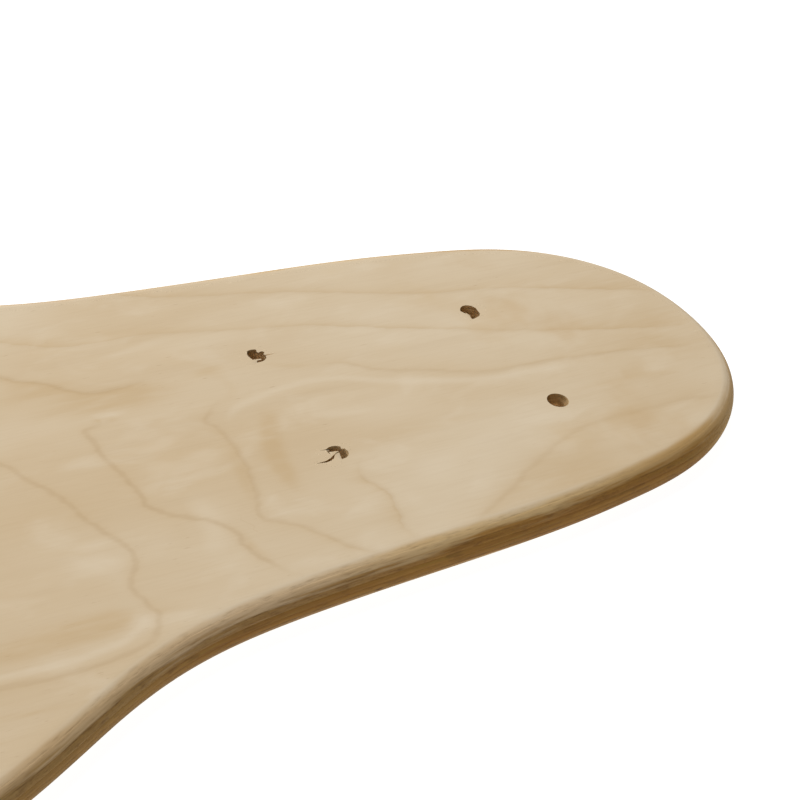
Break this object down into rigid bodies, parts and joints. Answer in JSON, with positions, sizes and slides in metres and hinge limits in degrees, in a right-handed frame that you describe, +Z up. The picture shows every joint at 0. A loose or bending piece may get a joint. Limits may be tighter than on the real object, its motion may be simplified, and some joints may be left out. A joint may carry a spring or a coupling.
{
  "type": "skateboard deck",
  "caption": "Long flat laminated-wood skateboard deck with alike rounded ends, wheel cutaways beside narrow necks, rounded-over edges and drilled truck holes.",
  "frame": {"origin": "centre of the deck's box on its underside, half way between the two truck patterns", "axes": "+X along the deck to its nose, the end that the picture shows; +Y across it to the left as it rolls towards +X; +Z up, out of the face that is stood on"},
  "size_m": [1.023, 0.2286, 0.011],
  "materials": {
    "face_maple": "raw sanded pale veneer, unlacquered",
    "long_grain_maple": "raw routed and sanded edge, long grain",
    "cross_grain_maple": "raw routed and sanded edge, end grain"
  },
  "bodies": {
    "root": {"bottom_face_veneer": "face_maple", "lower_long_grain_veneer": "long_grain_maple", "lower_cross_grain_veneer": "cross_grain_maple", "lower_core_veneer": "long_grain_maple", "upper_core_veneer": "long_grain_maple", "upper_cross_grain_veneer": "cross_grain_maple", "upper_long_grain_veneer": "long_grain_maple", "top_face_veneer": "face_maple"}
  },
  "joints": []
}
